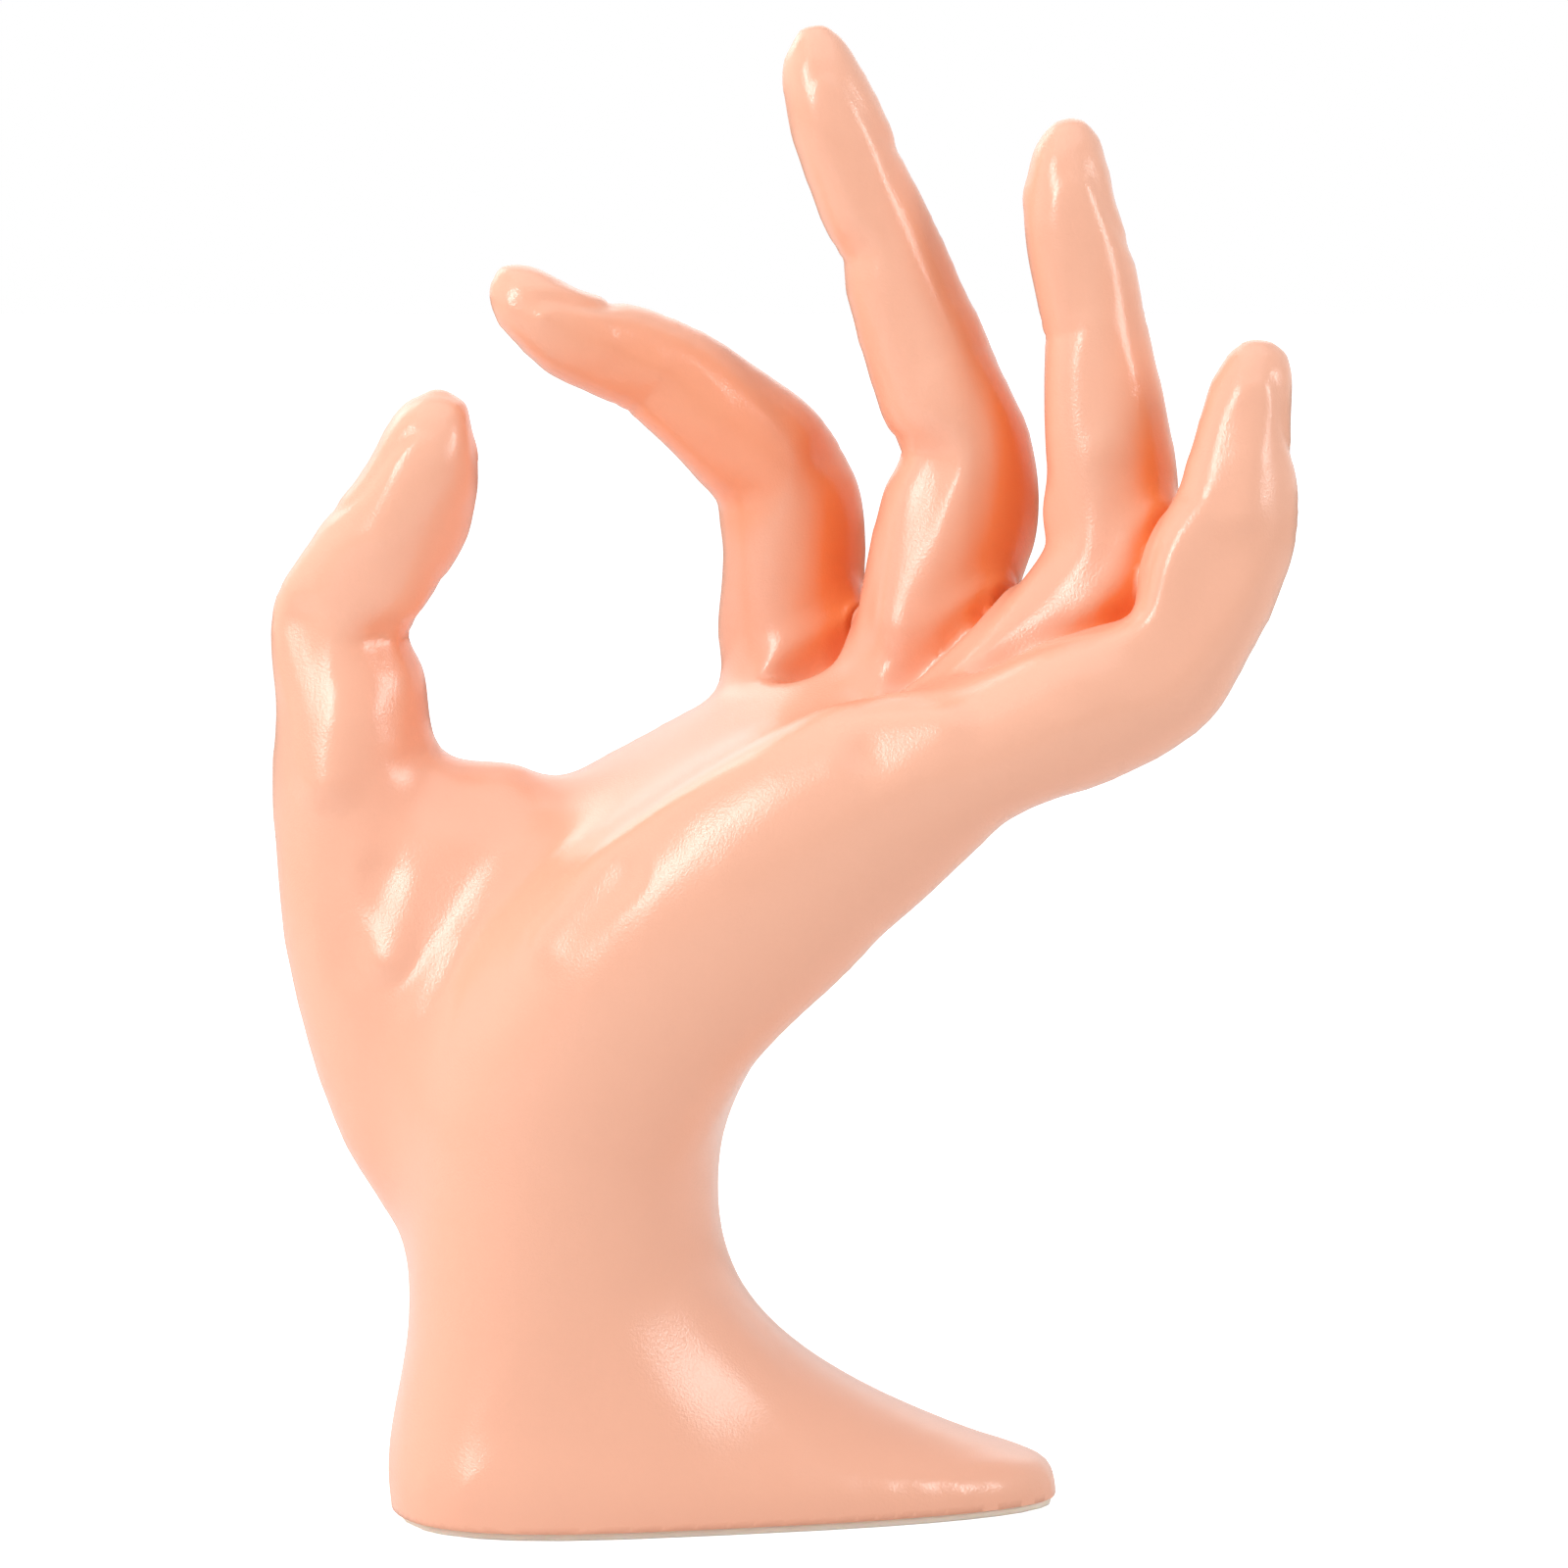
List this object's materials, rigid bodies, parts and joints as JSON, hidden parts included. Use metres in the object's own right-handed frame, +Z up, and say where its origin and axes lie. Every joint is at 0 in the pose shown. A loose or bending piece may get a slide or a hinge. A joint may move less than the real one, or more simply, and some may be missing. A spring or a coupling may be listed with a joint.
{
  "type": "hand ring display stand",
  "caption": "Upright moulded hand on a flared foot that holds rings on its spread fingers, with a flat base plate under a weighted foot.",
  "frame": {"origin": "centre of the foot's length on the table plane, under the base plate", "axes": "+X from heel to toe, +Y from the little finger's side to the index finger's side, +Z up"},
  "size_m": [0.1103, 0.0569, 0.1608],
  "materials": {
    "skin_plastic": "satin, fine grain",
    "plate_plastic": "matte sheet",
    "plaster": "cast, matte"
  },
  "bodies": {
    "root": {"hand_shell": "skin_plastic", "base_plate": "plate_plastic", "ballast_block": "plaster"}
  },
  "joints": []
}
